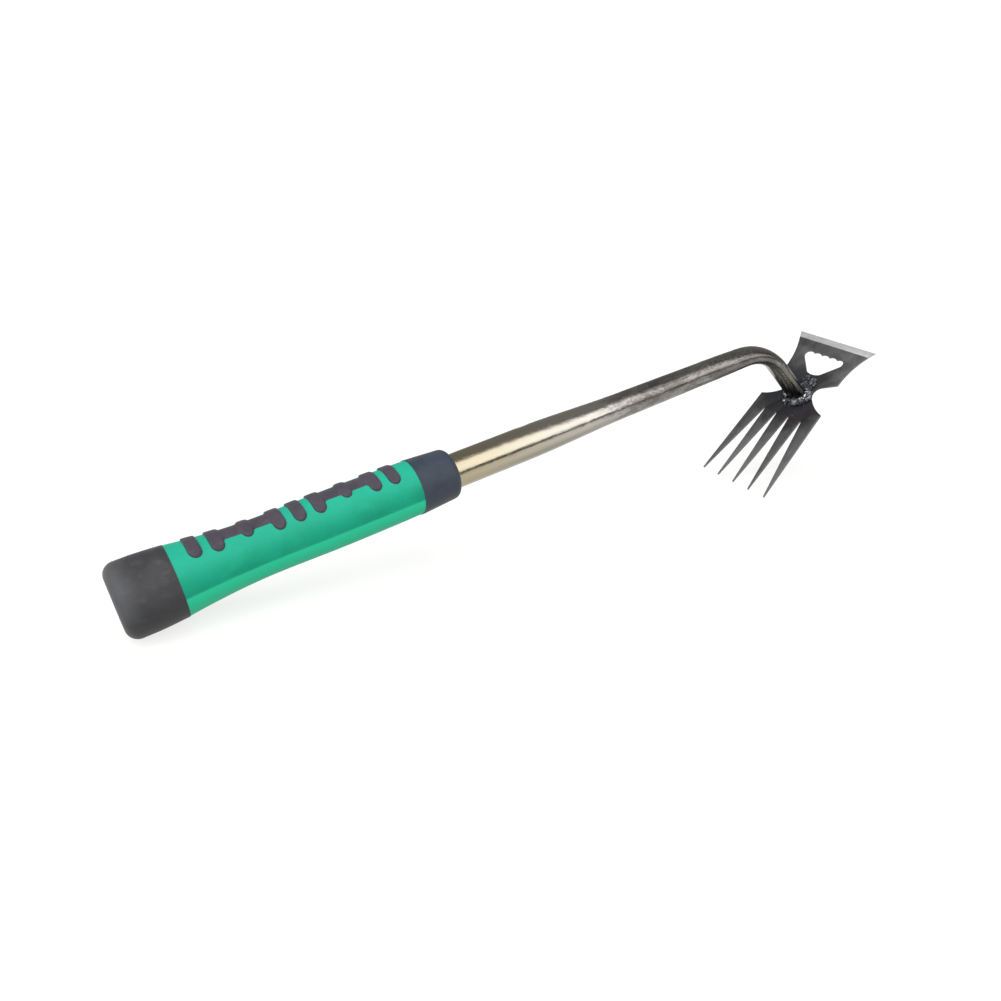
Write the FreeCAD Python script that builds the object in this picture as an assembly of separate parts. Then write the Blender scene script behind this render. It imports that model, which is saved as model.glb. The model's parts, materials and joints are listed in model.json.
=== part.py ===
import FreeCAD, Part
import math
import os

# Hand weeder: five-tine rake and ground blade on one plate, bent steel tube, moulded grip.
# Working frame while building: X runs along the handle from butt to head, Z is the tool's top.
# All sizes in millimetres, angles in degrees.

# handle tube
tube_rear_d = 18.9
tube_swaged_d = 15.1
tube_bend_d = 13.9
tube_wall = 1.5
swage_start = 217.0
swage_length = 75.0
corner_x = 400.8
bend_radius = 40.0
head_angle = 52.45
neck_length = 53.06
neck_thick = 9.6
neck_wide = 16.6
flatten_lead = 32.0
plug_length = 12.0

# head plate, measured from the neck foot: v toward the blade, u across
plate_thick = 1.6
blade_half_width = 30.6
blade_reach = 44.8
bevel_length = 4.8
cutting_land = 0.35
flank_mid_in = 6.6
flank_mid_v = 31.0
flank_low_in = 8.7
flank_low_v = 15.4
waist_ledge = 1.4
waist_v = 5.5
waist_top_out = 2.7
waist_top_v = 10.2
waist_low_out = 1.9
waist_low_v = 0.9
shoulder_bow_half = 17.6
shoulder_bow_v = -4.0
shoulder_half = 25.2
shoulder_v = -7.2
tine_count = 5
tine_pitch = 13.6
tine_tip_v = -72.1
tine_tip_wide = 0.4
slot_root_v = -17.0
slot_root_wide = 1.2

# serrated opening in the blade
scallop_count = 5
scallop_pitch = 6.2
blade_web = 13.0
scallop_rise = 1.1
opening_corner_half = 15.4
opening_corner_drop = 2.1
opening_side_drop = 4.0
opening_low_half = 5.5
opening_low_v = 18.2
opening_low_sag = 1.4

# weld bead round the neck foot
bead_count = 18
bead_side_r = 1.3
bead_fork_r = 2.6
bead_blade_r = 3.8

# moulded grip
core_wall = 2.15
grip_wall = 8.0
cap_wall = 6.9
cap_edge_r = 6.0
cap_full_x = 13.5
cap_length = 27.7
cap_step = 0.2
shell_rear_wall = 5.8
shell_taper_wall = 4.1
shell_taper_x = 15.5
shell_waist_wall = 2.8
shell_waist_x = 37.0
shell_belly_wall = 3.1
shell_front_wall = 2.9
shell_length = 122.5
shell_front_taper = 18.0
collar_step = 0.3
collar_length = 23.0
collar_front_wall = 2.0
collar_edge_r = 3.8
collar_lip = 11.0

# raised inlays in the top of the grip shell
finger_raise = 0.9
spine_raise = 0.15
inlay_depth = 1.2
inlay_end_gap = 8.0
finger_gap = 10.3
finger_wide = 6.4
finger_reach = 43.0
short_finger_wide = 5.4
short_finger_reach = 33.0
spine_reach = 21.0
inlay_corner_r = 1.2

# ---- places that follow from the sizes above
collar_x = cap_length + shell_length
grip_end = collar_x + collar_length
tangent = bend_radius * math.tan(math.radians(head_angle / 2))
bend_x = corner_x - tangent
core_end = grip_end - collar_lip
round_end = bend_x - flatten_lead
core_r = tube_rear_d / 2 + core_wall
cap_r = core_r + cap_wall
shell_waist_r = core_r + shell_waist_wall
inlay_centre_x = cap_length + shell_length / 2
bar_spread = shell_length / 2 - inlay_end_gap - finger_wide / 2
comb_finger = bar_spread / 2 - finger_gap
comb_centre = comb_finger + finger_gap
waist_half = neck_wide / 2 + waist_ledge
scallop_v = blade_reach - blade_web
tilt = math.radians(head_angle)
neck_dir = FreeCAD.Vector(math.cos(tilt), 0, -math.sin(tilt))
blade_dir = FreeCAD.Vector(math.sin(tilt), 0, math.cos(tilt))
across = FreeCAD.Vector(0, 1, 0)
foot = FreeCAD.Vector(corner_x, 0, 0) + neck_dir * neck_length


def spin(edges):
    """Turn a closed outline in the XZ plane about the handle axis, with the seam underneath."""
    origin = FreeCAD.Vector(0, 0, 0)
    axis = FreeCAD.Vector(1, 0, 0)
    face = Part.Face(Part.Wire(Part.__sortEdges__(edges)))
    face.rotate(origin, axis, 180)
    return face.revolve(origin, axis, 360)


def point(x, r):
    return FreeCAD.Vector(x, 0, r)


def line(a, b):
    return Part.makeLine(a, b)


def curve(points):
    spline = Part.BSplineCurve()
    spline.interpolate(points)
    return spline.toShape()


def cylinder(x, radius, length):
    return Part.makeCylinder(radius, length, point(x, 0), FreeCAD.Vector(1, 0, 0))


# ---- steel tube
def tube_outline(inset):
    """Side line of the round part of the tube, drawn in by inset."""
    swage_end = swage_start + swage_length
    middle_d = (tube_rear_d + tube_swaged_d) / 2
    reach = swage_length * 0.3
    swage = curve_along([
        (swage_start, tube_rear_d / 2 - inset),
        (swage_start + swage_length / 2, middle_d / 2 - inset),
        (swage_end, tube_swaged_d / 2 - inset)], reach)
    return [line(point(grip_wall, tube_rear_d / 2 - inset), point(swage_start, tube_rear_d / 2 - inset)),
            swage,
            line(point(swage_end, tube_swaged_d / 2 - inset), point(round_end, tube_bend_d / 2 - inset))]


def curve_along(places, reach):
    """Smooth side line through the places, level at both ends."""
    spline = Part.BSplineCurve()
    level = FreeCAD.Vector(reach, 0, 0)
    spline.interpolate(Points=[point(x, r) for x, r in places], InitialTangent=level, FinalTangent=level)
    return spline.toShape()


def round_tube(inset):
    outer = tube_outline(inset)
    front = tube_bend_d / 2 - inset
    rear = tube_rear_d / 2 - inset
    closing = [line(point(round_end, front), point(round_end, 0)),
               line(point(round_end, 0), point(grip_wall, 0)),
               line(point(grip_wall, 0), point(grip_wall, rear))]
    return spin(outer + closing)


def section(centre, up, thick, wide):
    """Closed oval across the tube: thick along up, wide across the tool."""
    along = across.cross(up)
    if wide - thick > 0.001:
        oval = Part.Ellipse(centre, wide / 2, thick / 2)
    else:
        oval = Part.Circle(centre, along, thick / 2)
    oval.Axis = along
    oval.XAxis = across
    return Part.Wire([oval.toShape()])


def ease(t):
    return t * t * (3 - 2 * t)


def centreline(run):
    """Centre of the tube and its downward angle, run millimetres past the round part."""
    arc_length = bend_radius * tilt
    if run <= flatten_lead:
        return point(round_end + run, 0), 0.0
    if run <= flatten_lead + arc_length:
        a = (run - flatten_lead) / bend_radius
        up = FreeCAD.Vector(math.sin(a), 0, math.cos(a))
        return point(bend_x, -bend_radius) + up * bend_radius, a
    left = flatten_lead + arc_length + neck_length - tangent - run
    return foot - neck_dir * left, tilt


def neck_sections(inset):
    """Evenly spaced sections from the round tube, through the bend, to the neck foot."""
    steps = 16
    squash_run = flatten_lead + bend_radius * tilt
    total = squash_run + neck_length - tangent
    sections = []
    for i in range(steps + 1):
        run = total * i / steps
        centre, a = centreline(run)
        squash = ease(min(1.0, run / squash_run))
        up = FreeCAD.Vector(math.sin(a), 0, math.cos(a))
        thick = tube_bend_d + (neck_thick - tube_bend_d) * squash - 2 * inset
        wide = tube_bend_d + (neck_wide - tube_bend_d) * squash - 2 * inset
        sections.append(section(centre, up, thick, wide))
    return sections


def solid_neck(inset):
    return Part.makeLoft(neck_sections(inset), True, False)


def steel_tube():
    rear = round_tube(0.0).cut(round_tube(tube_wall))
    neck = solid_neck(0.0).cut(solid_neck(tube_wall))
    return rear.fuse(neck)


def tube_end_plug():
    return cylinder(grip_wall, tube_rear_d / 2 - tube_wall, plug_length)


# ---- head plate
def on_plate(u, v, depth=0.0):
    return foot + across * u + blade_dir * v + neck_dir * depth


def plate_arc(a, b, c):
    return Part.Arc(on_plate(*a), on_plate(*b), on_plate(*c)).toShape()


def plate_line(a, b):
    return Part.makeLine(on_plate(*a), on_plate(*b))


def flip(p):
    return (-p[0], p[1])


def half_outline():
    """Edges of the plate on the +u side from the blade corner down to the shoulder."""
    blade = (blade_half_width, blade_reach)
    flank = (blade_half_width - flank_mid_in, flank_mid_v)
    low = (blade_half_width - flank_low_in, flank_low_v)
    top = (waist_half + waist_top_out, waist_top_v)
    waist = (waist_half, waist_v)
    bottom = (waist_half + waist_low_out, waist_low_v)
    bow = (shoulder_bow_half, shoulder_bow_v)
    shoulder = (shoulder_half, shoulder_v)
    return [("arc", blade, flank, low), ("line", low, top), ("arc", top, waist, bottom),
            ("arc", bottom, bow, shoulder)]


def tine_edges():
    """Zigzag of tines and slots from the +u shoulder to the -u shoulder."""
    edges = []
    outer = tine_pitch * (tine_count - 1) / 2
    here = (shoulder_half, shoulder_v)
    for i in range(tine_count):
        u = outer - tine_pitch * i
        edges.append(plate_line(here, (u + tine_tip_wide / 2, tine_tip_v)))
        edges.append(plate_line((u + tine_tip_wide / 2, tine_tip_v), (u - tine_tip_wide / 2, tine_tip_v)))
        here = (u - tine_tip_wide / 2, tine_tip_v)
        if i < tine_count - 1:
            middle = (tine_count / 2 - 1 - i) * slot_pitch()
            right = (middle + slot_root_wide / 2, slot_root_v)
            left = (middle - slot_root_wide / 2, slot_root_v)
            edges.append(plate_line(here, right))
            edges.append(plate_arc(right, (middle, slot_root_v + slot_root_wide / 2), left))
            here = left
    edges.append(plate_line(here, (-shoulder_half, shoulder_v)))
    return edges


def slot_pitch():
    """Slots share the body width evenly, so every tine starts equally wide."""
    return 2 * shoulder_half / tine_count + slot_root_wide / tine_count


def opening_edges():
    edges = []
    span = scallop_pitch * (scallop_count - 2)
    first = -span / 2
    for i in range(scallop_count - 2):
        a = first + scallop_pitch * i
        b = a + scallop_pitch
        edges.append(plate_arc((a, scallop_v), ((a + b) / 2, scallop_v + scallop_rise), (b, scallop_v)))
    for side in (1, -1):
        inner = side * span / 2
        outer = side * (span / 2 + scallop_pitch * 0.84)
        crest = (inner + outer) / 2
        edges.append(plate_arc((inner, scallop_v), (crest, scallop_v + scallop_rise * 0.8), (outer, scallop_v)))
        corner = (side * opening_corner_half, scallop_v - opening_corner_drop)
        below = (side * (opening_corner_half - 0.7), scallop_v - opening_side_drop)
        edges.append(plate_arc((outer, scallop_v), corner, below))
        edges.append(plate_line(below, (side * opening_low_half, opening_low_v)))
    bottom = (0, opening_low_v - opening_low_sag)
    edges.append(plate_arc((-opening_low_half, opening_low_v), bottom, (opening_low_half, opening_low_v)))
    return edges


def plate_blank():
    edges = [plate_line((-blade_half_width, blade_reach), (blade_half_width, blade_reach))]
    for kind, *points in half_outline():
        mirrored = [flip(p) for p in points]
        if kind == "arc":
            edges.append(plate_arc(*points))
            edges.append(plate_arc(*mirrored))
        else:
            edges.append(plate_line(*points))
            edges.append(plate_line(*mirrored))
    edges.extend(tine_edges())
    face = Part.Face(Part.Wire(Part.__sortEdges__(edges)))
    return face.extrude(neck_dir * plate_thick)


def bevel_cutter():
    """Wedge that grinds the near face of the blade down to its cutting land."""
    side = blade_half_width + 5
    a = on_plate(-side, blade_reach - bevel_length, 0)
    b = on_plate(-side, blade_reach, plate_thick - cutting_land)
    past = blade_reach + bevel_length
    c = on_plate(-side, past, plate_thick - cutting_land + plate_thick)
    d = on_plate(-side, past, -plate_thick)
    e = on_plate(-side, blade_reach - bevel_length, -plate_thick)
    face = Part.Face(Part.makePolygon([a, b, c, d, e, a]))
    return face.extrude(across * (2 * side))


def head_plate():
    opening = Part.Face(Part.Wire(Part.__sortEdges__(opening_edges())))
    hole = opening.extrude(neck_dir * plate_thick)
    return plate_blank().cut(hole).cut(bevel_cutter())


def weld_bead():
    """Overlapping drops round the neck foot, trimmed by the tube and the plate's near face."""
    drops = []
    for i in range(bead_count):
        a = 2 * math.pi * i / bead_count
        u = neck_wide / 2 * math.sin(a)
        v = neck_thick / 2 * math.cos(a)
        if math.cos(a) > 0:
            end_r = bead_blade_r
        else:
            end_r = bead_fork_r
        r = bead_side_r + (end_r - bead_side_r) * abs(math.cos(a))
        r = r * (1 + 0.08 * (-1) ** i)
        drops.append(Part.makeSphere(r, on_plate(u, v, 0)))
    lump = drops[0].multiFuse(drops[1:])
    reach = neck_wide + bead_blade_r
    above = Part.makeBox(2 * reach, 2 * reach, reach)
    above.Placement = FreeCAD.Placement(
        foot - across * reach - blade_dir * reach,
        FreeCAD.Rotation(blade_dir, across, -neck_dir, "ZXY"))
    return lump.common(above).cut(solid_neck(0.0))


# ---- grip
def grip_core():
    length = core_end - grip_wall
    return cylinder(grip_wall, core_r, length).cut(cylinder(grip_wall, tube_rear_d / 2, length))


def grip_end_cap():
    corner = math.sqrt(0.5) * cap_edge_r
    rounding = Part.Arc(
        point(0, cap_r - cap_edge_r),
        point(cap_edge_r - corner, cap_r - cap_edge_r + corner),
        point(cap_edge_r, cap_r)).toShape()
    cap_front_r = core_r + shell_rear_wall + cap_step
    side_x = (cap_full_x + cap_length) / 2
    side_r = cap_r * 0.6 + cap_front_r * 0.4
    side = curve([point(cap_full_x, cap_r), point(side_x, side_r), point(cap_length, cap_front_r)])
    edges = [line(point(0, 0), point(0, cap_r - cap_edge_r)), rounding,
             line(point(cap_edge_r, cap_r), point(cap_full_x, cap_r)), side,
             line(point(cap_length, cap_front_r), point(cap_length, core_r)),
             line(point(cap_length, core_r), point(grip_wall, core_r)),
             line(point(grip_wall, core_r), point(grip_wall, 0)),
             line(point(grip_wall, 0), point(0, 0))]
    return spin(edges)


def shell_curve(offset):
    """Outer line of the green grip body, moved out by offset."""
    front_taper_x = collar_x - shell_front_taper
    middle = (cap_length + shell_waist_x + front_taper_x) / 2
    places = [(cap_length, shell_rear_wall), (cap_length + shell_taper_x, shell_taper_wall),
              (cap_length + shell_waist_x, shell_waist_wall), (middle, shell_belly_wall),
              (front_taper_x, shell_belly_wall), (collar_x, shell_front_wall)]
    return [point(x, core_r + wall + offset) for x, wall in places]


def shell_ring(inner, outer):
    edges = [line(inner[0], outer[0]), line(inner[-1], outer[-1])]
    if len(inner) == 2:
        edges.append(line(inner[0], inner[1]))
    else:
        edges.append(curve(inner))
    edges.append(curve(outer))
    return spin(edges)


def grip_shell(inlays):
    bore = [point(cap_length, core_r), point(collar_x, core_r)]
    body = shell_ring(bore, shell_curve(0.0))
    return body.cut(Part.makeCompound(inlays))


def grip_collar():
    rear_r = core_r + shell_front_wall + collar_step
    collar_front_r = core_r + collar_front_wall
    corner = math.sqrt(0.5) * collar_edge_r
    rounding = Part.Arc(
        point(grip_end - collar_edge_r, collar_front_r),
        point(grip_end - collar_edge_r + corner, collar_front_r - collar_edge_r + corner),
        point(grip_end, collar_front_r - collar_edge_r)).toShape()
    tube_r = tube_rear_d / 2
    edges = [line(point(collar_x, core_r), point(collar_x, rear_r)),
             line(point(collar_x, rear_r), point(grip_end - collar_edge_r, collar_front_r)),
             rounding,
             line(point(grip_end, collar_front_r - collar_edge_r), point(grip_end, tube_r)),
             line(point(grip_end, tube_r), point(core_end, tube_r)),
             line(point(core_end, tube_r), point(core_end, core_r)),
             line(point(core_end, core_r), point(collar_x, core_r))]
    return spin(edges)


# ---- inlays: outlines seen from above, pressed through a raised band of the shell
def half_chord(reach):
    return shell_waist_r * math.sin(math.radians(reach))


def finger(x, wide, reach):
    """Round-ended bar across the top of the grip."""
    r = wide / 2
    end = half_chord(reach) - r
    corners = [FreeCAD.Vector(x + r, -end, 0), FreeCAD.Vector(x + r, end, 0),
               FreeCAD.Vector(x - r, end, 0), FreeCAD.Vector(x - r, -end, 0)]
    far = Part.Arc(corners[1], FreeCAD.Vector(x, end + r, 0), corners[2]).toShape()
    near = Part.Arc(corners[3], FreeCAD.Vector(x, -end - r, 0), corners[0]).toShape()
    return Part.Face(Part.Wire([line(corners[0], corners[1]), far, line(corners[2], corners[3]), near]))


def pressed(outline, raised):
    band = shell_ring(shell_curve(-inlay_depth), shell_curve(raised))
    column = outline.extrude(FreeCAD.Vector(0, 0, cap_r))
    column.translate(FreeCAD.Vector(0, 0, core_r / 2))
    return column.common(band)


def bar(x):
    return pressed(finger(x, finger_wide, finger_reach), finger_raise)


def comb(x):
    """Two long fingers and a short one between them, joined by a nearly flush spine along the top."""
    half = half_chord(spine_reach)
    spine = Part.makePlane(2 * comb_finger, 2 * half, FreeCAD.Vector(x - comb_finger, -half, 0))
    fingers = [finger(x - comb_finger, finger_wide, finger_reach),
               finger(x + comb_finger, finger_wide, finger_reach),
               finger(x, short_finger_wide, short_finger_reach)]
    flat = spine.fuse(fingers).removeSplitter().Faces[0]
    flat = flat.makeOffset2D(inlay_corner_r).makeOffset2D(-inlay_corner_r)
    ridges = [pressed(outline, finger_raise) for outline in fingers]
    return pressed(flat, spine_raise).fuse(ridges).removeSplitter()


def build():
    inlays = {
        "inlay_bar_rear": bar(inlay_centre_x - bar_spread),
        "inlay_comb_rear": comb(inlay_centre_x - comb_centre),
        "inlay_bar_middle": bar(inlay_centre_x),
        "inlay_comb_front": comb(inlay_centre_x + comb_centre),
        "inlay_bar_front": bar(inlay_centre_x + bar_spread),
    }
    parts = {
        "steel_tube": steel_tube(),
        "tube_end_plug": tube_end_plug(),
        "head_plate": head_plate(),
        "weld_bead": weld_bead(),
        "grip_core": grip_core(),
        "grip_end_cap": grip_end_cap(),
        "grip_shell": grip_shell(list(inlays.values())),
        "grip_collar": grip_collar(),
    }
    parts.update(inlays)
    return parts


def rest_angle():
    """Slope at which the tool lies on the floor: butt rounding and tine tips both touch."""
    tip = on_plate(0, tine_tip_v, plate_thick)
    run = tip.x - cap_edge_r
    drop = -tip.z - (cap_r - cap_edge_r)
    reach = math.hypot(run, drop)
    return math.atan2(drop, run) - math.asin(cap_edge_r / reach)


def lay_down(parts):
    """Turn the tool to its resting slope, then put the origin under the middle of its box."""
    turn = FreeCAD.Rotation(FreeCAD.Vector(0, 1, 0), -math.degrees(rest_angle()))
    laid = {}
    for name, shape in parts.items():
        solid = shape.copy()
        solid.Placement = FreeCAD.Placement(FreeCAD.Vector(0, 0, 0), turn).multiply(solid.Placement)
        laid[name] = solid
    box = Part.makeCompound(list(laid.values())).optimalBoundingBox()
    shift = FreeCAD.Vector(-(box.XMin + box.XMax) / 2, -(box.YMin + box.YMax) / 2, -box.ZMin)
    for solid in laid.values():
        solid.translate(shift)
    return laid


os.makedirs("parts", exist_ok=True)
for name, shape in lay_down(build()).items():
    shape.exportStep("parts/" + name + ".step")
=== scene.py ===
import json
import math
import random

import bpy
from mathutils import Matrix, Vector


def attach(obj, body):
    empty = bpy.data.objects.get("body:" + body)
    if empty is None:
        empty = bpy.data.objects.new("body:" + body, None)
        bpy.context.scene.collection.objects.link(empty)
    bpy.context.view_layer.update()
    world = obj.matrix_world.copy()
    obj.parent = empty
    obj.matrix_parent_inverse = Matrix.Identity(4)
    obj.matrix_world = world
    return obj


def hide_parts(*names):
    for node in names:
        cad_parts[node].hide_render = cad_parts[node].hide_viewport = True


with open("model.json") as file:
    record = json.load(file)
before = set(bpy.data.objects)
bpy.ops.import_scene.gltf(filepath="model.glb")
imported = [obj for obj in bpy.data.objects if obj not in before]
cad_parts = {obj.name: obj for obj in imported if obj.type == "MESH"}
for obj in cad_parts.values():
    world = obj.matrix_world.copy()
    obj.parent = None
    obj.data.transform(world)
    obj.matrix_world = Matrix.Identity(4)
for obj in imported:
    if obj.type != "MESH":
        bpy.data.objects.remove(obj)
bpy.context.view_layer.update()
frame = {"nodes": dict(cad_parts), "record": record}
bpy.ops.object.select_all(action="DESELECT")
print("frame loaded,", len(frame["nodes"]), "parts")

# the handle's line and the blade's line come from the part's own flat faces
mounts = {mount["name"]: mount for mount in frame["record"]["mounts"]}
head = {"backFaceToFoot": 0.0365, "thick": 0.0016, "bendRadius": 0.040, "bendStart": 0.3811,
        "bendAngle": 52.45, "bendEndToFoot": 0.0334}
buttCentre = Vector(mounts["butt_face"]["pos_m"])
handleDir = -Vector(mounts["butt_face"]["axis"])
handleSlope = math.atan2(handleDir.z, handleDir.x)
handleUp = Vector((-handleDir.z, 0, handleDir.x))
plateDown = Vector(mounts["blade_back_face"]["axis"])
bladeDir = Vector((-plateDown.z, 0, plateDown.x))
bladeSlope = math.atan2(bladeDir.z, bladeDir.x)
neckFoot = Vector(mounts["blade_back_face"]["pos_m"]) - plateDown * head["thick"] \
    - bladeDir * head["backFaceToFoot"]
sideDir = Vector((0, 1, 0))


# small helpers
def only(piece):
    # selects one piece and makes it the one that the operators act on
    bpy.ops.object.select_all(action="DESELECT")
    piece.select_set(True)
    bpy.context.view_layer.objects.active = piece


def finishWith(piece, kind, **settings):
    only(piece)
    modifier = piece.modifiers.new(kind.lower(), kind)
    for name, value in settings.items():
        setattr(modifier, name, value)
    bpy.ops.object.modifier_apply(modifier=modifier.name)


def mergedCopy(nodeName, pieceName):
    # a welded copy of a part's mesh, to be worked on
    piece = bpy.data.objects.new(pieceName, frame["nodes"][nodeName].data.copy())
    bpy.context.scene.collection.objects.link(piece)
    only(piece)
    bpy.ops.mesh.customdata_custom_splitnormals_clear()
    bpy.ops.object.mode_set(mode="EDIT")
    bpy.ops.mesh.select_all(action="SELECT")
    bpy.ops.mesh.remove_doubles(threshold=1e-6)
    bpy.ops.object.mode_set(mode="OBJECT")
    return piece


def withoutSlivers(piece):
    # merges points that all but touch, and drops faces of no area
    only(piece)
    bpy.ops.object.mode_set(mode="EDIT")
    bpy.ops.mesh.select_all(action="SELECT")
    bpy.ops.mesh.remove_doubles(threshold=2e-6)
    bpy.ops.mesh.dissolve_degenerate(threshold=2e-6)
    bpy.ops.object.mode_set(mode="OBJECT")


def selectPoints(piece, wanted):
    # selects the points, and the edges between them, for which wanted(place) is true
    for face in piece.data.polygons:
        face.select = False
    for point in piece.data.vertices:
        point.select = wanted(point.co)
    for edge in piece.data.edges:
        edge.select = all(piece.data.vertices[i].select for i in edge.vertices)


def settled(piece):
    # the piece's place goes into its mesh
    only(piece)
    bpy.ops.object.transform_apply(location=True, rotation=True, scale=True)


def wear(piece, material):
    piece.data.materials.clear()
    piece.data.materials.append(material)


# sums on sockets
class Flow:
    # wraps a socket: a sum on it adds a Math node, and node() adds any other node
    def __init__(self, tree, socket=None):
        self.tree = tree
        self.socket = socket

    def node(self, kind, settings=None, inputs=None, output=0):
        made = self.tree.nodes.new("ShaderNode" + kind)
        for name, value in (settings or {}).items():
            setattr(made, name, value)
        for name, value in (inputs or {}).items():
            if isinstance(value, Flow):
                self.tree.links.new(value.socket, made.inputs[name])
            else:
                made.inputs[name].default_value = value
        return Flow(self.tree, made.outputs[output] if made.outputs else None)

    def sum(self, operation, first, second):
        return self.node("Math", {"operation": operation}, {0: first, 1: second})

    def __add__(self, other):
        return self.sum("ADD", self, other)

    def __radd__(self, other):
        return self.sum("ADD", other, self)

    def __sub__(self, other):
        return self.sum("SUBTRACT", self, other)

    def __rsub__(self, other):
        return self.sum("SUBTRACT", other, self)

    def __mul__(self, other):
        return self.sum("MULTIPLY", self, other)

    def __rmul__(self, other):
        return self.sum("MULTIPLY", other, self)


def fade(value, low, high):
    # 0 below low, 1 above high, smooth between; the other way round when low is the larger
    ends = {"Value": value, "From Min": low, "From Max": high, "To Min": 0.0, "To Max": 1.0}
    if low > high:
        ends.update({"From Min": high, "From Max": low, "To Min": 1.0, "To Max": 0.0})
    return value.node("MapRange", {"interpolation_type": "SMOOTHSTEP"}, ends)


def painted(under, over, mask, blend="MIX"):
    # over laid on under where mask is 1
    tree = next(part for part in (under, over, mask) if isinstance(part, Flow))
    colours = [part if isinstance(part, Flow) else (*part, 1.0) for part in (under, over)]
    return tree.node("Mix", {"data_type": "RGBA", "blend_type": blend, "clamp_factor": True},
                     {0: mask, 6: colours[0], 7: colours[1]}, 2)


def grain(place, size, stretch=(1, 1, 1), detail=3.0, roughness=0.55, distortion=0.0):
    # soft noise whose lumps are about size metres across
    scaled = place.node("VectorMath", {"operation": "MULTIPLY"},
                        {0: place, 1: tuple(1.0 / (size * s) for s in stretch)})
    return place.node("TexNoise", {"noise_dimensions": "3D"},
                      {"Vector": scaled, "Scale": 1.0, "Detail": detail, "Roughness": roughness,
                       "Distortion": distortion}, "Fac")


def pits(place, size, output="Distance"):
    scaled = place.node("VectorMath", {"operation": "SCALE"}, {0: place, "Scale": 1.0 / size})
    return place.node("TexVoronoi", {"feature": "F1"}, {"Vector": scaled, "Scale": 1.0}, output)


def bump(height, metres, under=None):
    # height is 0 to 1, and metres how deep that is; metres may vary over the surface
    inputs = {"Height": height, "Strength": 1.0, "Distance": metres}
    if isinstance(metres, Flow):
        inputs = {"Height": height * metres * 1000, "Strength": 1.0, "Distance": 0.001}
    if under is not None:
        inputs["Normal"] = under
    return height.node("Bump", None, inputs, "Normal")


def newMaterial(name):
    material = bpy.data.materials.new(name)
    material.use_nodes = True
    material.node_tree.nodes.clear()
    return material, Flow(material.node_tree)


def finishMaterial(flow, inputs):
    shader = flow.node("BsdfPrincipled", None, inputs, "BSDF")
    flow.node("OutputMaterial", None, {"Surface": shader})


def placeIn(flow, origin, slope):
    # Object coordinates turned so that X runs up the slope and Z stands off it
    here = flow.node("TexCoord", None, None, "Object")
    return flow.node("Mapping", {"vector_type": "TEXTURE"},
                     {"Vector": here, "Location": tuple(origin), "Rotation": (0.0, -slope, 0.0)})


def split(place):
    return [place.node("SeparateXYZ", None, {0: place}, axis) for axis in "XYZ"]


# rubber and plastic
def softTouch(name, look):
    # a moulded soft-touch skin: fine grain, cloudy sheen, rubbed patches
    material, flow = newMaterial(name)
    place = placeIn(flow, buttCentre, handleSlope)
    along, _, height = split(place)
    clouds = grain(place, look["cloudSize"], detail=4.0)
    smudge = grain(place, look["cloudSize"] * 0.35, stretch=(1.6, 1, 1), detail=5.0, roughness=0.6)
    fleck = grain(place, 0.0006, detail=2.0)
    colour = painted(look["deep"], look["base"], fade(clouds, 0.30, 0.62))
    colour = painted(colour, look["rubbedAndLit"], fade(smudge, 0.48, 0.78) * look["rub"])
    colour = painted(colour, (0.5, 0.5, 0.5), fade(fleck, 0.30, 0.70) * look["fleck"], "OVERLAY")
    # the upper part of the butt end is painted paler: partly rubbed from standing on its end, partly painted
    # light falling from above
    colour = painted(colour, look["rubbedAndLit"], fade(along, 0.013, 0.001) * fade(height, -0.012, 0.004) * 0.65)
    # painted light and shade by height: each band lightens or darkens the skin where it faces up or down
    for tint, low, high, share in look["paintedLightBands"]:
        colour = painted(colour, tint, fade(height, low, high) * share)
    skin = bump(pits(place, look["grainSize"]), look["grainDepth"])
    skin = bump(grain(place, 0.0022, detail=3.0), look["waver"], skin)
    finishMaterial(flow, {
        "Base Color": colour,
        "Roughness": look["roughness"] + (clouds - 0.5) * 0.16 + (smudge - 0.5) * 0.14,
        "Specular IOR Level": look["specular"],
        "Sheen Weight": look["sheen"],
        "Sheen Roughness": 0.5,
        "Normal": skin,
    })
    return material


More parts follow.
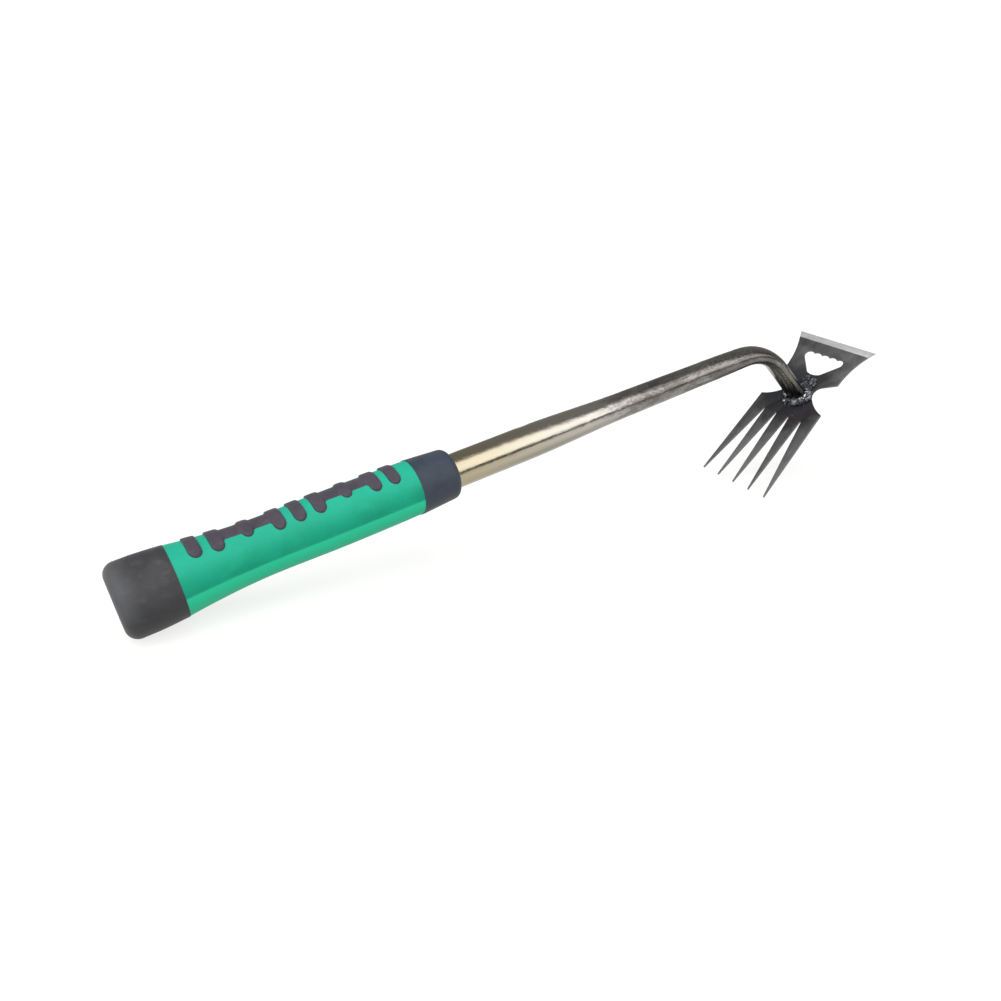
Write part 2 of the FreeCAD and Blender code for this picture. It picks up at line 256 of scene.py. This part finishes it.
skins = {
    "capRubber": {
        "base": (0.030, 0.030, 0.034), "deep": (0.019, 0.019, 0.022), "rubbedAndLit": (0.070, 0.071, 0.077),
        # painted shade: the cap is darker towards its underside
        "paintedLightBands": [((0.014, 0.014, 0.015), 0.004, -0.005, 0.50)],
        "rub": 0.6, "fleck": 0.25, "cloudSize": 0.012, "grainSize": 0.00042, "grainDepth": 0.00006,
        "waver": 0.00006, "roughness": 0.62, "specular": 0.36, "sheen": 0.05},
    "collarRubber": {
        "base": (0.018, 0.028, 0.044), "deep": (0.013, 0.021, 0.035), "rubbedAndLit": (0.032, 0.044, 0.063),
        # painted shade: the collar is darker towards its underside
        "paintedLightBands": [((0.010, 0.015, 0.024), 0.002, -0.012, 0.45)],
        "rub": 0.5, "fleck": 0.25, "cloudSize": 0.010, "grainSize": 0.00042, "grainDepth": 0.00006,
        "waver": 0.00006, "roughness": 0.58, "specular": 0.42, "sheen": 0.06},
    "greenRubber": {
        "base": (0.003, 0.275, 0.165), "deep": (0.002, 0.240, 0.138), "rubbedAndLit": (0.012, 0.320, 0.205),
        # painted light: the half below the mould line is painted lighter as if lit by the floor, and the top
        # is painted lighter as if lit from above
        "paintedLightBands": [((0.022, 0.620, 0.330), -0.0002, -0.0012, 0.75),
                  ((0.020, 0.330, 0.245), 0.005, 0.013, 0.35)],
        "rub": 0.5, "fleck": 0.12, "cloudSize": 0.016, "grainSize": 0.00040, "grainDepth": 0.00004,
        "waver": 0.00005, "roughness": 0.55, "specular": 0.18, "sheen": 0.02},
    "inlayRubber": {
        "base": (0.038, 0.031, 0.046), "deep": (0.028, 0.023, 0.035), "rubbedAndLit": (0.058, 0.050, 0.070),
        "paintedLightBands": [], "rub": 0.55, "fleck": 0.25, "cloudSize": 0.006, "grainSize": 0.00036,
        "grainDepth": 0.00006, "waver": 0.00005, "roughness": 0.62, "specular": 0.40, "sheen": 0.06},
    "corePlastic": {
        "base": (0.040, 0.040, 0.043), "deep": (0.028, 0.028, 0.031), "rubbedAndLit": (0.075, 0.075, 0.080),
        "paintedLightBands": [], "rub": 0.4, "fleck": 0.2, "cloudSize": 0.010, "grainSize": 0.00050,
        "grainDepth": 0.00003, "waver": 0.00003, "roughness": 0.48, "specular": 0.5, "sheen": 0.0},
    "plugPlastic": {
        "base": (0.032, 0.032, 0.034), "deep": (0.022, 0.022, 0.024), "rubbedAndLit": (0.065, 0.065, 0.068),
        "paintedLightBands": [], "rub": 0.4, "fleck": 0.2, "cloudSize": 0.006, "grainSize": 0.00050,
        "grainDepth": 0.00003, "waver": 0.00003, "roughness": 0.52, "specular": 0.5, "sheen": 0.0},
}
finishes = {name: softTouch(name, look) for name, look in skins.items()}
print("rubber and plastic mixed")


# steel
tubeLook = {"straw": (0.385, 0.335, 0.218), "grey": (0.440, 0.414, 0.380), "worn": (0.248, 0.230, 0.216),
            "dullAndShade": (0.076, 0.073, 0.070), "bright": (0.460, 0.435, 0.405), "burnt": (0.024, 0.024, 0.029),
            "brown": (0.158, 0.146, 0.112), "turnsGrey": (0.150, 0.280), "turnsDull": (0.258, 0.306),
            "roughness": 0.185}


def tubeSteel(look):
    material, flow = newMaterial("tubeSteel")
    x, y, z = split(placeIn(flow, buttCentre, handleSlope))
    # the bend unrolled: run goes along the tube, off stands out from its middle line
    overX = x - head["bendStart"]
    overZ = z + head["bendRadius"]
    turned = flow.node("Math", {"operation": "ARCTAN2"}, {0: overX, 1: overZ})
    turned = flow.node("Clamp", None, {0: turned, 1: 0.0, 2: math.radians(head["bendAngle"])})
    cosine = flow.node("Math", {"operation": "COSINE"}, {0: turned})
    sine = flow.node("Math", {"operation": "SINE"}, {0: turned})
    run = overX * cosine - overZ * sine + turned * head["bendRadius"] + head["bendStart"]
    off = overX * sine + overZ * cosine - head["bendRadius"]
    place = flow.node("CombineXYZ", None, {0: run, 1: y, 2: off})
    end = head["bendStart"] + math.radians(head["bendAngle"]) * head["bendRadius"] + head["bendEndToFoot"]

    streak = grain(place, 0.0015, stretch=(14, 1, 1), detail=4.0, roughness=0.62)
    drawn = grain(place, 0.0005, stretch=(60, 1, 1), detail=2.0)
    patch = grain(place, 0.007, stretch=(2.0, 1, 1), detail=6.0, roughness=0.68, distortion=0.5)
    speck = grain(place, 0.0012, stretch=(1.6, 1, 1), detail=4.0, roughness=0.75)
    toGrey = fade(run + (patch - 0.5) * 0.08, *look["turnsGrey"])
    toDull = fade(run + (patch - 0.5) * 0.04, *look["turnsDull"])
    colour = painted(look["straw"], look["grey"], toGrey)
    colour = painted(colour, look["worn"], toDull)
    colour = painted(colour, look["bright"], fade(streak, 0.52, 0.78) * (0.25 + toDull * 0.30))
    colour = painted(colour, look["dullAndShade"], fade(patch, 0.42, 0.60) * (toDull * 0.52 + 0.03))
    colour = painted(colour, look["dullAndShade"], fade(streak, 0.50, 0.30) * (toDull * 0.60 + 0.05))
    colour = painted(colour, look["dullAndShade"], fade(speck, 0.50, 0.66) * toDull * 0.65)
    # painted shade underneath, strongest halfway along
    colour = painted(colour, look["dullAndShade"], fade(off, 0.0005, -0.0045) * (1 - toDull)
                     * (fade(run, 0.175, 0.235) * 0.40 + 0.14))
    colour = painted(colour, look["dullAndShade"], fade(run + (patch - 0.5) * 0.02, 0.335, 0.372) * 0.40)
    # the outside of the bend is scuffed
    colour = painted(colour, look["bright"], fade(speck, 0.42, 0.58) * fade(off, 0.0005, 0.0055)
                     * fade(run, 0.315, 0.350) * 0.42)
    fromFoot = (end - run) + (patch - 0.5) * 0.012
    colour = painted(colour, look["brown"], fade(fromFoot, 0.046, 0.020) * 0.65)
    colour = painted(colour, look["burnt"], fade(fromFoot, 0.024, 0.010) * 0.94)
    # painted highlight lines: pale streaks near the foot, partly scrape marks
    colour = painted(colour, look["bright"], fade(streak, 0.54, 0.64) * fade(fromFoot, 0.056, 0.040)
                     * fade(fromFoot, 0.008, 0.014) * 0.55)
    skin = bump(streak + drawn * 0.3, toDull * 0.00005 + 0.00003)
    skin = bump(speck, toDull * 0.00006 + 0.00001, skin)
    skin = bump(patch, 0.00020, skin)
    rough = look["roughness"] + toDull * 0.06 + (patch - 0.5) * 0.12 + (streak - 0.5) * 0.08 \
        - fade(fromFoot, 0.050, 0.036) * 0.06
    finishMaterial(flow, {"Base Color": colour, "Metallic": 1.0, "Roughness": rough, "Normal": skin})
    return material


plateLook = {"scale": (0.075, 0.075, 0.076), "scaleDark": (0.046, 0.046, 0.047),
             "scuff": (0.185, 0.185, 0.187), "cut": (0.190, 0.188, 0.185),
             "ground": (0.385, 0.385, 0.390), "groundDark": (0.22, 0.22, 0.23),
             "groundPale": (0.48, 0.48, 0.48),
             "heatBlack": (0.013, 0.013, 0.015), "heatPurple": (0.030, 0.018, 0.025),
             "heatBlue": (0.018, 0.021, 0.032), "roughness": 0.52, "bevelFrom": 0.0400}


def plateSteel(look):
    material, flow = newMaterial("plateSteel")
    place = placeIn(flow, neckFoot, bladeSlope)
    up, side, off = split(place)
    normal = flow.node("NewGeometry", None, None, "Normal")
    facing = flow.node("VectorMath", {"operation": "DOT_PRODUCT"}, {0: normal, 1: tuple(-plateDown)}, "Value")
    flat = flow.node("Math", {"operation": "ABSOLUTE"}, {0: facing})
    blotch = grain(place, 0.009, detail=5.0, roughness=0.62, distortion=0.4)
    rolled = grain(place, 0.0016, stretch=(9, 1, 1), detail=4.0)
    speck = grain(place, 0.00075, detail=3.0, roughness=0.72)
    scratch = grain(place, 0.0007, stretch=(1, 30, 1), detail=2.0, distortion=0.2)
    colour = painted(look["scaleDark"], look["scale"], fade(blotch, 0.32, 0.60))
    colour = painted(colour, look["scuff"], fade(speck, 0.56, 0.80) * 0.45)
    colour = painted(colour, look["scuff"], fade(rolled, 0.56, 0.76) * 0.22)
    colour = painted(colour, look["scuff"], fade(scratch, 0.64, 0.78) * 0.25)
    # the tines are rubbed brighter towards their tips
    colour = painted(colour, look["scuff"], fade(up, -0.022, -0.055) * (0.26 + fade(speck, 0.45, 0.7) * 0.40))
    # heat tint round the weld: black, then blue and purple, then gone
    away = flow.node("VectorMath", {"operation": "LENGTH"}, {0: flow.node(
        "CombineXYZ", None, {0: up * 1.15, 1: side, 2: 0.0})}, "Value")
    away = away + (blotch - 0.5) * 0.014
    fork = fade(up, 0.000, -0.008)
    colour = painted(colour, look["heatBlack"], fade(away, 0.036, 0.020) * (fork * 0.16 + 0.74))
    colour = painted(colour, look["heatPurple"],
                     fade(away, 0.026, 0.019) * fade(side, 0.010, -0.004) * fork * 0.75)
    colour = painted(colour, look["heatBlue"], fade(away, 0.020, 0.013) * 0.50)
    colour = painted(colour, look["heatBlack"], fade(away, 0.016, 0.009) * 0.80)
    # cut edges, then the ground bevel on the near side
    cutEdge = fade(flat, 0.60, 0.35)
    colour = painted(colour, look["cut"], cutEdge * fade(away, 0.010, 0.022) * 0.8)
    grind = grain(place, 0.00045, stretch=(14, 1, 8), detail=3.0)
    bevel = fade(up, look["bevelFrom"] - 0.00012, look["bevelFrom"] + 0.00012) * fade(off, -0.00158, -0.00150)
    shine = painted(look["ground"], look["groundDark"], fade(grind, 0.50, 0.70) * 0.7)
    shine = painted(shine, look["groundPale"], fade(blotch, 0.48, 0.66) * 0.5)
    colour = painted(colour, shine, bevel)
    skin = bump(blotch, 0.00012)
    skin = bump(speck + rolled * 0.5, 0.00007, skin)
    skin = bump(grind * bevel, 0.00005, skin)
    rough = look["roughness"] + (blotch - 0.5) * 0.20 + (speck - 0.5) * 0.15 - bevel * 0.16
    finishMaterial(flow, {"Base Color": colour, "Metallic": 0.60 - bevel * 0.20, "Roughness": rough,
                          "Normal": skin})
    return material


weldLook = {"dark": (0.022, 0.023, 0.030), "grey": (0.105, 0.107, 0.116), "bright": (0.760, 0.785, 0.840),
            "blue": (0.028, 0.036, 0.062), "smooth": (0.300, 0.300, 0.305), "roughness": 0.30,
            # where the weld is painted brightest: up the blade, across, reach and how bright
            "brightSpots": ((0.0002, -0.0070, 0.0052, 1.0), (-0.0028, 0.0070, 0.0030, 0.7),
                      (-0.0080, 0.0032, 0.0018, 0.9), (0.0090, -0.0045, 0.0030, 0.35),
                      (0.0140, -0.0040, 0.0024, 0.30)),
            "brightSpotsLeast": 0.05, "smoothAt": (-0.0052, -0.0036, 0.0030)}


def weldSteel(look):
    material, flow = newMaterial("weldSteel")
    place = placeIn(flow, neckFoot, bladeSlope)
    up, side, _ = split(place)
    lump = grain(place, 0.0018, detail=4.0, roughness=0.65, distortion=0.5)
    crumb = pits(place, 0.0014, "Distance")
    fine = grain(place, 0.0005, detail=3.0, roughness=0.7)

    def near(atUp, atSide, reach):
        gap = flow.node("VectorMath", {"operation": "LENGTH"}, {0: flow.node(
            "CombineXYZ", None, {0: up - atUp, 1: side - atSide, 2: 0.0})}, "Value")
        return fade(gap + (lump - 0.5) * reach * 0.9, reach, reach * 0.45)

    brightSpots = look["brightSpotsLeast"]
    for atUp, atSide, reach, share in look["brightSpots"]:
        brightSpots = near(atUp, atSide, reach) * share + brightSpots
    colour = painted(look["dark"], look["grey"], fade(lump, 0.36, 0.62))
    colour = painted(colour, look["blue"], fade(fine, 0.50, 0.70) * 0.55)
    colour = painted(colour, look["bright"], fade(crumb, 0.52, 0.30) * brightSpots)
    smooth = near(*look["smoothAt"])
    colour = painted(colour, look["smooth"], smooth)
    skin = bump(lump, 0.00050)
    skin = bump(crumb, 0.00030 - smooth * 0.00026, skin)
    skin = bump(fine, 0.00012, skin)
    rough = look["roughness"] + (lump - 0.5) * 0.25 + smooth * 0.15
    finishMaterial(flow, {"Base Color": colour, "Metallic": 0.9, "Roughness": rough, "Normal": skin})
    return material


finishes["tubeSteel"] = tubeSteel(tubeLook)
finishes["plateSteel"] = plateSteel(plateLook)
finishes["weldSteel"] = weldSteel(weldLook)
print("steel mixed")

slotFinishes = {"tube_steel": "tubeSteel", "plate_steel": "plateSteel", "weld_steel": "weldSteel",
                "plug_plastic": "plugPlastic", "core_plastic": "corePlastic", "cap_rubber": "capRubber",
                "collar_rubber": "collarRubber", "green_rubber": "greenRubber", "inlay_rubber": "inlayRubber"}
for part in frame["nodes"].values():
    for holder in part.material_slots:
        holder.material = finishes[slotFinishes[holder.material.name.split(".")[0]]]


# the green moulding with the raised line where the mould's halves met
moulding = {"lineHeight": -0.0003, "lineWide": 0.00055, "lineRaise": 0.00013, "boreRadius": 0.0125,
            "endGap": 0.0006}


def greenMoulding(look):
    piece = mergedCopy("grip_shell", "greenMoulding")
    lineCentre = buttCentre + handleUp * look["lineHeight"]
    bpy.ops.object.mode_set(mode="EDIT")
    bpy.ops.mesh.select_all(action="SELECT")
    bpy.ops.mesh.bisect(plane_co=lineCentre, plane_no=handleUp)
    bpy.ops.object.mode_set(mode="OBJECT")

    def onLine(place):
        offset = place - lineCentre
        return abs(offset.dot(handleUp)) < 2e-6 and abs(place.y) > look["boreRadius"]

    ends = sorted((point.co - buttCentre).dot(handleDir) for point in piece.data.vertices if onLine(point.co))
    low, high = ends[0] + look["endGap"], ends[-1] - look["endGap"]
    selectPoints(piece, lambda place: onLine(place) and low < (place - buttCentre).dot(handleDir) < high)
    bpy.ops.object.mode_set(mode="EDIT")
    bpy.ops.mesh.bevel(offset=look["lineWide"] / 2, segments=2, affect="EDGES")
    bpy.ops.object.mode_set(mode="OBJECT")
    selectPoints(piece, lambda place: onLine(place) and low < (place - buttCentre).dot(handleDir) < high)
    bpy.ops.object.mode_set(mode="EDIT")
    bpy.ops.transform.shrink_fatten(value=look["lineRaise"])
    bpy.ops.object.mode_set(mode="OBJECT")
    withoutSlivers(piece)
    only(piece)
    bpy.ops.object.shade_smooth_by_angle(angle=math.radians(28))
    return piece


def inlayPiece(nodeName, look):
    # the soft dark fingers: their edges are rounded over
    piece = mergedCopy(nodeName, "soft_" + nodeName)
    finishWith(piece, "REMESH", mode="VOXEL", voxel_size=look["voxel"], adaptivity=0.0)
    finishWith(piece, "SMOOTH", factor=0.5, iterations=look["rounds"])
    only(piece)
    bpy.ops.object.shade_smooth()
    return piece


inlays = {"voxel": 0.00030, "rounds": 36, "nodes": ("inlay_bar_rear", "inlay_comb_rear", "inlay_bar_middle",
                                                    "inlay_comb_front", "inlay_bar_front")}
for nodeName in inlays["nodes"]:
    fingers = inlayPiece(nodeName, inlays)
    wear(fingers, finishes["inlayRubber"])
    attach(fingers, "root")
    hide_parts(nodeName)

greenShell = greenMoulding(moulding)
wear(greenShell, finishes["greenRubber"])
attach(greenShell, "root")
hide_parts("grip_shell")
print("green moulding shaped")


# the head plate with its arrises taken off
arris = {"width": 0.00022, "segments": 2, "sharperThan": 32}


def wornPlate(look):
    piece = mergedCopy("head_plate", "headPlate")
    bpy.ops.object.mode_set(mode="EDIT")
    bpy.ops.mesh.select_all(action="SELECT")
    bpy.ops.mesh.dissolve_limited(angle_limit=math.radians(0.5))
    bpy.ops.object.mode_set(mode="OBJECT")
    finishWith(piece, "BEVEL", width=look["width"], segments=look["segments"], limit_method="ANGLE",
               angle_limit=math.radians(look["sharperThan"]), use_clamp_overlap=True)
    withoutSlivers(piece)
    bpy.ops.object.shade_smooth_by_angle(angle=math.radians(24))
    return piece


plate = wornPlate(arris)
wear(plate, finishes["plateSteel"])
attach(plate, "root")
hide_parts("head_plate")
print("head plate shaped")


# the weld
weld = {
    "halfWide": 0.0083, "halfThick": 0.0048,  # the flattened neck where it meets the plate
    "lumps": 42, "least": 0.0017, "most": 0.0034,  # the run round the foot, and how heavy it is
    "heaviest": 82,  # where it is heaviest, in degrees from the blade
    "crumbs": 90, "crumbSize": (0.00055, 0.00125), "crumbOut": (0.0003, 0.0038),
    "pad": 64, "padSize": (0.0008, 0.0017), "padUp": (0.0055, 0.0146), "padSide": (-0.0066, 0.0034),
    "lone": ((-0.0056, -0.0036, 0.0027), (-0.0080, 0.0032, 0.0011), (-0.0040, 0.0112, 0.0010),
             (0.0145, -0.0046, 0.0009), (0.0150, 0.0004, 0.0008), (-0.0148, -0.0076, 0.0006)),
    "voxel": 0.00033, "sunk": 0.0006, "seed": 11,
    "spatter": 30, "spatterSmall": 0.00022, "spatterLarge": 0.00060, "spatterReach": (0.0080, 0.020),
    "spatterUp": (-0.0135, 0.013), "spatterAcross": 0.0105, "neckClear": (0.0065, 0.0095),
}


def drop(name, size, place, squash, spin):
    # one lump of weld metal: a ball pressed flat underneath and pulled out on one side
    bpy.ops.object.select_all(action="DESELECT")
    bpy.ops.mesh.primitive_ico_sphere_add(subdivisions=2, radius=size)
    piece = bpy.context.object
    piece.name = name
    for part in (piece.data.vertices, piece.data.edges):
        part.foreach_set("select", [False] * len(part))
    for face in piece.data.polygons:
        face.select = face.normal.z < -0.55
    bpy.context.tool_settings.mesh_select_mode = (False, False, True)
    bpy.ops.object.mode_set(mode="EDIT")
    bpy.ops.transform.translate(value=(0, 0, size * 0.45))
    bpy.ops.object.mode_set(mode="OBJECT")
    turn = Matrix((bladeDir, sideDir, -plateDown)).transposed().to_4x4()
    piece.matrix_world = Matrix.Translation(place) @ turn @ Matrix.Rotation(spin, 4, "Z") \
        @ Matrix.Diagonal((1.25, 0.9, squash, 1.0))
    settled(piece)
    bpy.context.tool_settings.mesh_select_mode = (True, False, False)
    return piece


def joined(pieces, name):
    bpy.ops.object.select_all(action="DESELECT")
    for piece in pieces:
        piece.select_set(True)
    bpy.context.view_layer.objects.active = pieces[0]
    bpy.ops.object.join()
    pieces[0].name = pieces[0].data.name = name
    return pieces[0]


def onPlate(up, side, off=0.0):
    return neckFoot + bladeDir * up + sideDir * side - plateDown * off


def weldBeadPiece(look):
    dice = random.Random(look["seed"])
    lumps = []

    def lay(size, angle, out, height, squash):
        place = onPlate((look["halfThick"] + out) * math.cos(angle),
                        -(look["halfWide"] + out * 0.6) * math.sin(angle), height)
        lumps.append(drop(f"lump{len(lumps)}", size, place, squash, dice.uniform(0, math.tau)))

    def heaviness(angle):
        return (0.5 + 0.5 * math.cos(angle - math.radians(look["heaviest"]))) ** 1.6

    # the run round the foot, heaviest on the near side
    for number in range(look["lumps"]):
        angle = math.tau * (number + dice.uniform(-0.3, 0.3)) / look["lumps"]
        heavy = heaviness(angle)
        size = (look["least"] + (look["most"] - look["least"]) * heavy) * dice.uniform(0.82, 1.12)
        lay(size, angle, size * dice.uniform(0.05, 0.40), size * dice.uniform(-0.05, 0.30),
            dice.uniform(0.8, 1.15))
    # crumbs of spatter sunk in its face
    for _ in range(look["crumbs"]):
        angle = math.radians(look["heaviest"] + dice.gauss(8, 55))
        out = dice.uniform(*look["crumbOut"])
        top = (0.0016 + 0.0026 * heaviness(angle)) * (1 - out / 0.0062) + dice.uniform(-0.0004, 0.0008)
        lay(dice.uniform(*look["crumbSize"]), angle, out, max(top, 0.0003), dice.uniform(0.8, 1.2))
    # a thin rough pad run up the blade to the opening
    for number in range(look["pad"]):
        size = dice.uniform(*look["padSize"])
        up, side = dice.uniform(*look["padUp"]), dice.uniform(*look["padSide"])
        lumps.append(drop(f"pad{number}", size, onPlate(up, side, size * dice.uniform(-0.2, 0.25)),
                          dice.uniform(0.4, 0.75), dice.uniform(0, math.tau)))
    for up, side, size in look["lone"]:
        lumps.append(drop("lone", size, onPlate(up, side, size * 0.15), 0.8, 0.4))
    bead = joined(lumps, "weldBead")
    finishWith(bead, "REMESH", mode="VOXEL", voxel_size=look["voxel"], adaptivity=0.0)
    finishWith(bead, "SMOOTH", factor=0.5, iterations=2)
    # what hangs below is trimmed off inside the plate
    only(bead)
    bpy.ops.object.mode_set(mode="EDIT")
    bpy.ops.mesh.select_all(action="SELECT")
    bpy.ops.mesh.bisect(plane_co=onPlate(0, 0, -look["sunk"]), plane_no=-plateDown, clear_inner=True,
                        use_fill=True)
    bpy.ops.mesh.select_all(action="SELECT")
    bpy.ops.mesh.normals_make_consistent(inside=False)
    bpy.ops.object.mode_set(mode="OBJECT")
    bpy.ops.object.shade_smooth_by_angle(angle=math.radians(60))
    return bead


def weldSpatterPiece(look):
    dice = random.Random(look["seed"] + 1)
    balls = []
    while len(balls) < look["spatter"]:
        angle = dice.uniform(0, math.tau)
        reach = dice.uniform(*look["spatterReach"])
        up, side = reach * math.cos(angle), reach * math.sin(angle) * 0.9
        lowest, highest = look["spatterUp"]
        clearUp, clearSide = look["neckClear"]
        pastReach = up > highest or up < lowest or abs(side) > look["spatterAcross"]
        if pastReach or (abs(side) < clearSide and abs(up) < clearUp):
            continue
        size = look["spatterSmall"] + (look["spatterLarge"] - look["spatterSmall"]) * dice.random() ** 2.5
        place = onPlate(up, side, size * 0.35)
        balls.append(drop(f"ball{len(balls)}", size, place, 0.85, dice.uniform(0, math.tau)))
    spatter = joined(balls, "weldSpatter")
    only(spatter)
    bpy.ops.object.shade_smooth_by_angle(angle=math.radians(60))
    return spatter


bead = weldBeadPiece(weld)
spatter = weldSpatterPiece(weld)
for piece in (bead, spatter):
    wear(piece, finishes["weldSteel"])
    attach(piece, "root")
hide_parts("weld_bead")
print("weld run,", len(bead.data.polygons), "faces")


# floor, light and camera
studio = {
    "floorRadius": 6.0, "floorColour": (0.26, 0.26, 0.24), "floorShade": (0.245, 0.245, 0.225),
    "floorGlow": 0.74,
    "window": 2.35, "windowFrom": (13, 20), "windowTo": (84, 98), "windowTilt": 60,
    "windowSide": (0.55, 0.92), "windowLeast": 0.40, "room": 0.30, "skirting": 0.075, "underFloor": 0.45,
    "lampPower": 7.0, "lampSize": 1.2, "lampFrom": (-0.15, -0.10, 1.3),
}

bpy.ops.object.select_all(action="DESELECT")
bpy.ops.mesh.primitive_circle_add(vertices=96, radius=studio["floorRadius"], fill_type="NGON",
                                  location=(0, 0, -0.0002))
floor = bpy.context.object
floor.name = "floor"
settled(floor)
floorMaterial, flow = newMaterial("paleFloor")
floorShade = fade(grain(flow.node("TexCoord", None, None, "Object"), 0.30, detail=2.0), 0.3, 0.7)
finishMaterial(flow, {"Base Color": painted(studio["floorColour"], studio["floorShade"], floorShade),
                      "Roughness": 0.9, "Specular IOR Level": 0.1,
                      "Emission Color": (1.0, 1.0, 1.0, 1.0), "Emission Strength": studio["floorGlow"]})
wear(floor, floorMaterial)
floor.visible_diffuse = False  # the sky below stands in for its bounce, which would be too strong

# a wide soft window on the near side, a dimmer room behind and a dark line under the window
world = bpy.data.worlds.new("studioWorld")
bpy.context.scene.world = world
world.use_nodes = True
world.node_tree.nodes.clear()
flow = Flow(world.node_tree)
east, north, high = split(flow.node("TexCoord", None, None, "Generated"))
lift = flow.node("Math", {"operation": "ARCTAN2"}, {0: high, 1: 0 - north}) * (180 / math.pi)
window = fade(lift, *studio["windowFrom"]) \
    * fade(lift + east * studio["windowTilt"], *reversed(studio["windowTo"]))
fromSide = fade(east, *reversed(studio["windowSide"]))
window = window * (studio["windowLeast"] + (1 - studio["windowLeast"]) * fromSide)
room = studio["skirting"] + (studio["room"] - studio["skirting"]) * fade(lift, 60, 95)
level = room + window * studio["window"] + fade(high, -0.02, -0.06) * studio["underFloor"]
# the backdrop itself is plain white
seen = flow.node("LightPath", None, None, "Is Camera Ray")
sky = flow.node("Background", None, {"Color": (1.0, 1.0, 1.0, 1.0), "Strength": level * (1 - seen) + seen})
flow.node("OutputWorld", None, {"Surface": sky})

# a soft lamp overhead, for the upper faces only: bright steel doesn't mirror it
bpy.ops.object.light_add(type="AREA", location=studio["lampFrom"])
lamp = bpy.context.object
lamp.name = "topLamp"
lamp.data.size = studio["lampSize"]
lamp.data.energy = studio["lampPower"]
lamp.visible_glossy = False

cameraLook = {"place": (-0.27593, -0.37468, 0.23720), "right": (0.84587, -0.53139, 0.04617),
              "up": (0.19171, 0.38364, 0.90336), "lens": 32.367}
bpy.ops.object.camera_add()
camera = bpy.context.object
camera.name = "camera"
camera.data.lens = cameraLook["lens"]
camera.data.sensor_width = 36.0
camera.data.clip_start = 0.01
camera.data.dof.use_dof = False
right = Vector(cameraLook["right"]).normalized()
up = Vector(cameraLook["up"])
up = (up - right * up.dot(right)).normalized()
cameraTurn = Matrix((right, up, right.cross(up))).transposed().to_4x4()
camera.matrix_world = Matrix.Translation(cameraLook["place"]) @ cameraTurn
bpy.context.scene.camera = camera
bpy.context.scene.view_settings.view_transform = "Standard"
print("studio set")
